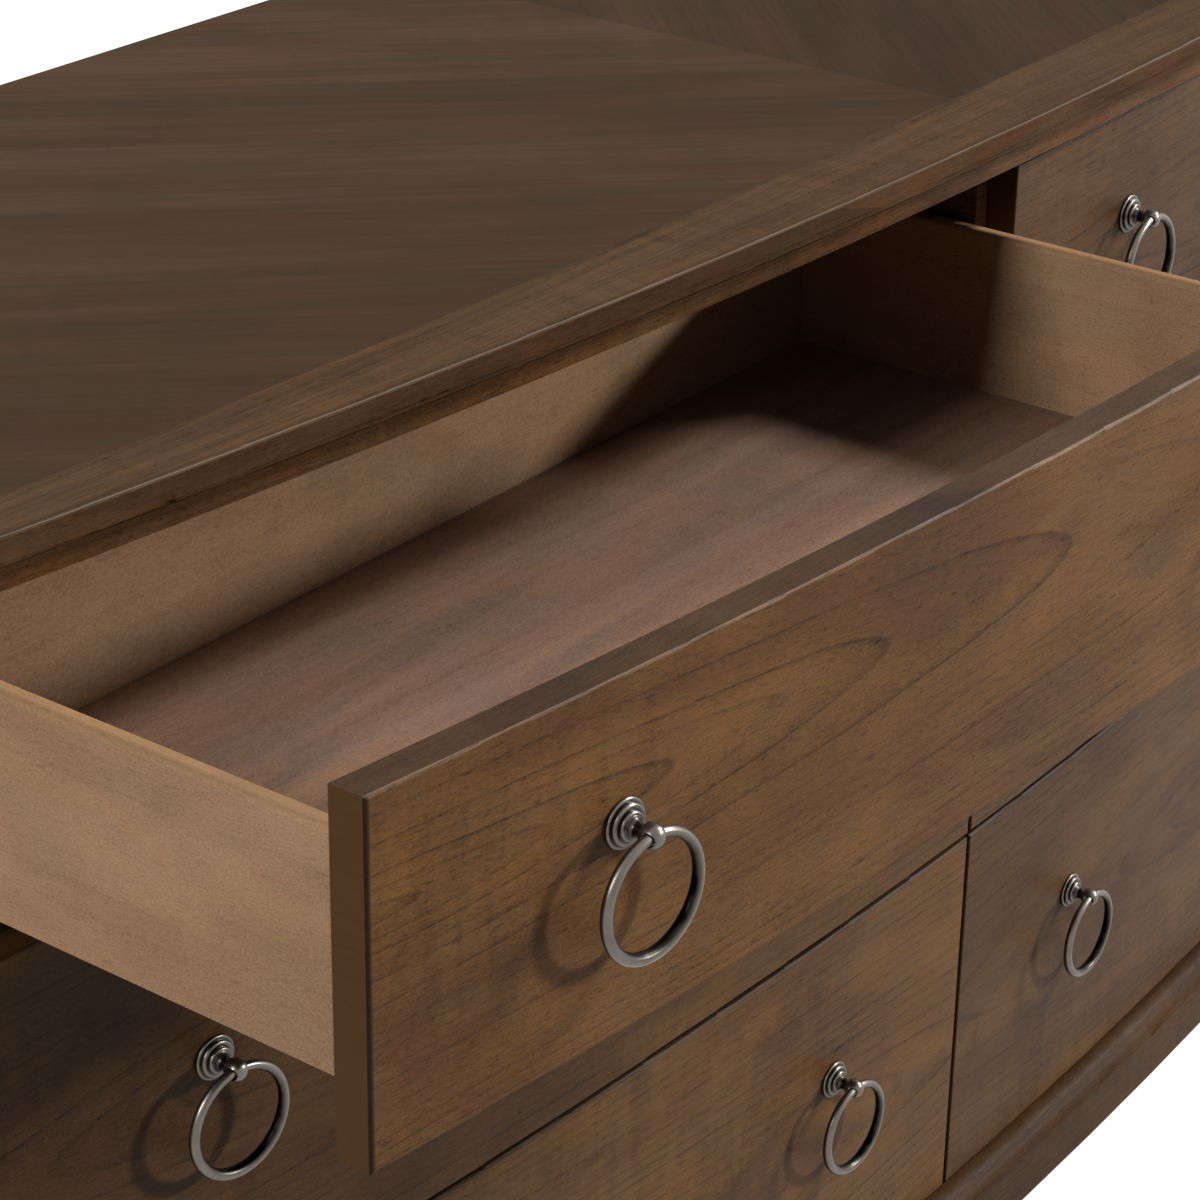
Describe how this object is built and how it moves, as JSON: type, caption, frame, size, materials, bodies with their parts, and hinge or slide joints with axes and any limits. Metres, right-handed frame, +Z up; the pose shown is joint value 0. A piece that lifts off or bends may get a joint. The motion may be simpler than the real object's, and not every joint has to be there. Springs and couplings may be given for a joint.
{
  "type": "bow-front dresser",
  "caption": "Wide bow-front wood dresser with stacked drawers in two columns, ring pulls, a veneered top and a moulded base on short turned feet.",
  "frame": {"origin": "on the floor, under the middle of the resting model's box, with the top left drawer standing open", "axes": "+X along the width to the viewer's right, +Y towards the back, +Z up; the drawers open towards -Y"},
  "size_m": [1.702, 0.7788, 0.93],
  "materials": {
    "cherry_top": "stained cherry veneer, satin lacquer",
    "cherry_case": "stained cherry, satin lacquer",
    "cherry_front": "stained cherry veneer with brown glaze, satin lacquer",
    "drawer_wood": "stained maple-like hardwood, sealed",
    "drawer_base": "stained plywood, sealed",
    "case_inner": "stained hardwood, thin sealer",
    "back_board": "stained plywood",
    "pewter": "satin cast metal with dark patina in the recesses",
    "slide_steel": "zinc-plated sheet steel",
    "glide": "plain"
  },
  "bodies": {
    "case": {"top_panel": "cherry_top", "sub_top": "cherry_case", "side_left": "cherry_case", "side_right": "cherry_case", "center_partition": "case_inner", "back_panel": "back_board", "bottom_panel": "case_inner", "drawer_rails": "case_inner", "base_frame": "case_inner", "base_moulding_front": "cherry_case", "base_moulding_left": "cherry_case", "base_moulding_right": "cherry_case", "foot_front_left": "cherry_case", "foot_front_right": "cherry_case", "foot_back_left": "cherry_case", "foot_back_right": "cherry_case", "floor_glides": "glide", "slide_tracks": "slide_steel"},
    "top_left_drawer": {"top_left_drawer_front": "cherry_front", "top_left_drawer_box": "drawer_wood", "top_left_drawer_bottom": "drawer_base", "top_left_drawer_runners": "slide_steel", "top_left_pull_posts": "pewter"},
    "top_right_drawer": {"top_right_drawer_front": "cherry_front", "top_right_drawer_box": "drawer_wood", "top_right_drawer_bottom": "drawer_base", "top_right_drawer_runners": "slide_steel", "top_right_pull_posts": "pewter"},
    "middle_left_drawer": {"middle_left_drawer_front": "cherry_front", "middle_left_drawer_box": "drawer_wood", "middle_left_drawer_bottom": "drawer_base", "middle_left_drawer_runners": "slide_steel", "middle_left_pull_posts": "pewter"},
    "middle_right_drawer": {"middle_right_drawer_front": "cherry_front", "middle_right_drawer_box": "drawer_wood", "middle_right_drawer_bottom": "drawer_base", "middle_right_drawer_runners": "slide_steel", "middle_right_pull_posts": "pewter"},
    "bottom_left_drawer": {"bottom_left_drawer_front": "cherry_front", "bottom_left_drawer_box": "drawer_wood", "bottom_left_drawer_bottom": "drawer_base", "bottom_left_drawer_runners": "slide_steel", "bottom_left_pull_posts": "pewter"},
    "bottom_right_drawer": {"bottom_right_drawer_front": "cherry_front", "bottom_right_drawer_box": "drawer_wood", "bottom_right_drawer_bottom": "drawer_base", "bottom_right_drawer_runners": "slide_steel", "bottom_right_pull_posts": "pewter"},
    "top_left_outer_ring": {"top_left_outer_ring": "pewter"},
    "top_left_inner_ring": {"top_left_inner_ring": "pewter"},
    "top_right_outer_ring": {"top_right_outer_ring": "pewter"},
    "top_right_inner_ring": {"top_right_inner_ring": "pewter"},
    "middle_left_outer_ring": {"middle_left_outer_ring": "pewter"},
    "middle_left_inner_ring": {"middle_left_inner_ring": "pewter"},
    "middle_right_outer_ring": {"middle_right_outer_ring": "pewter"},
    "middle_right_inner_ring": {"middle_right_inner_ring": "pewter"},
    "bottom_left_outer_ring": {"bottom_left_outer_ring": "pewter"},
    "bottom_left_inner_ring": {"bottom_left_inner_ring": "pewter"},
    "bottom_right_outer_ring": {"bottom_right_outer_ring": "pewter"},
    "bottom_right_inner_ring": {"bottom_right_inner_ring": "pewter"}
  },
  "joints": [
    {"name": "top_left_drawer_slide", "type": "slide", "parent": "case", "child": "top_left_drawer", "axis": [0, -1, 0], "range_m": [-0.25, 0.03]},
    {"name": "top_right_drawer_slide", "type": "slide", "parent": "case", "child": "top_right_drawer", "axis": [0, -1, 0], "range_m": [0, 0.28]},
    {"name": "middle_left_drawer_slide", "type": "slide", "parent": "case", "child": "middle_left_drawer", "axis": [0, -1, 0], "range_m": [0, 0.28]},
    {"name": "middle_right_drawer_slide", "type": "slide", "parent": "case", "child": "middle_right_drawer", "axis": [0, -1, 0], "range_m": [0, 0.28]},
    {"name": "bottom_left_drawer_slide", "type": "slide", "parent": "case", "child": "bottom_left_drawer", "axis": [0, -1, 0], "range_m": [0, 0.28]},
    {"name": "bottom_right_drawer_slide", "type": "slide", "parent": "case", "child": "bottom_right_drawer", "axis": [0, -1, 0], "range_m": [0, 0.28]},
    {"name": "top_left_outer_ring_swing", "type": "hinge", "parent": "top_left_drawer", "child": "top_left_outer_ring", "pos_m": [-0.68679, -0.35232, 0.826], "axis": [-0.995, 0.0996, 0], "range_deg": [-14, 165]},
    {"name": "top_left_inner_ring_swing", "type": "hinge", "parent": "top_left_drawer", "child": "top_left_inner_ring", "pos_m": [-0.1519, -0.38492, 0.826], "axis": [-0.9998, 0.022, 0], "range_deg": [-14, 165]},
    {"name": "top_right_outer_ring_swing", "type": "hinge", "parent": "top_right_drawer", "child": "top_right_outer_ring", "pos_m": [0.68679, -0.10232, 0.826], "axis": [-0.995, -0.0996, 0], "range_deg": [-14, 165]},
    {"name": "top_right_inner_ring_swing", "type": "hinge", "parent": "top_right_drawer", "child": "top_right_inner_ring", "pos_m": [0.1519, -0.13492, 0.826], "axis": [-0.9998, -0.022, 0], "range_deg": [-14, 165]},
    {"name": "middle_left_outer_ring_swing", "type": "hinge", "parent": "middle_left_drawer", "child": "middle_left_outer_ring", "pos_m": [-0.68679, -0.10232, 0.603], "axis": [-0.995, 0.0996, 0], "range_deg": [-14, 165]},
    {"name": "middle_left_inner_ring_swing", "type": "hinge", "parent": "middle_left_drawer", "child": "middle_left_inner_ring", "pos_m": [-0.1519, -0.13492, 0.603], "axis": [-0.9998, 0.022, 0], "range_deg": [-14, 165]},
    {"name": "middle_right_outer_ring_swing", "type": "hinge", "parent": "middle_right_drawer", "child": "middle_right_outer_ring", "pos_m": [0.68679, -0.10232, 0.603], "axis": [-0.995, -0.0996, 0], "range_deg": [-14, 165]},
    {"name": "middle_right_inner_ring_swing", "type": "hinge", "parent": "middle_right_drawer", "child": "middle_right_inner_ring", "pos_m": [0.1519, -0.13492, 0.603], "axis": [-0.9998, -0.022, 0], "range_deg": [-14, 165]},
    {"name": "bottom_left_outer_ring_swing", "type": "hinge", "parent": "bottom_left_drawer", "child": "bottom_left_outer_ring", "pos_m": [-0.68679, -0.10232, 0.321], "axis": [-0.995, 0.0996, 0], "range_deg": [-14, 165]},
    {"name": "bottom_left_inner_ring_swing", "type": "hinge", "parent": "bottom_left_drawer", "child": "bottom_left_inner_ring", "pos_m": [-0.1519, -0.13492, 0.321], "axis": [-0.9998, 0.022, 0], "range_deg": [-14, 165]},
    {"name": "bottom_right_outer_ring_swing", "type": "hinge", "parent": "bottom_right_drawer", "child": "bottom_right_outer_ring", "pos_m": [0.68679, -0.10232, 0.321], "axis": [-0.995, -0.0996, 0], "range_deg": [-14, 165]},
    {"name": "bottom_right_inner_ring_swing", "type": "hinge", "parent": "bottom_right_drawer", "child": "bottom_right_inner_ring", "pos_m": [0.1519, -0.13492, 0.321], "axis": [-0.9998, -0.022, 0], "range_deg": [-14, 165]}
  ]
}
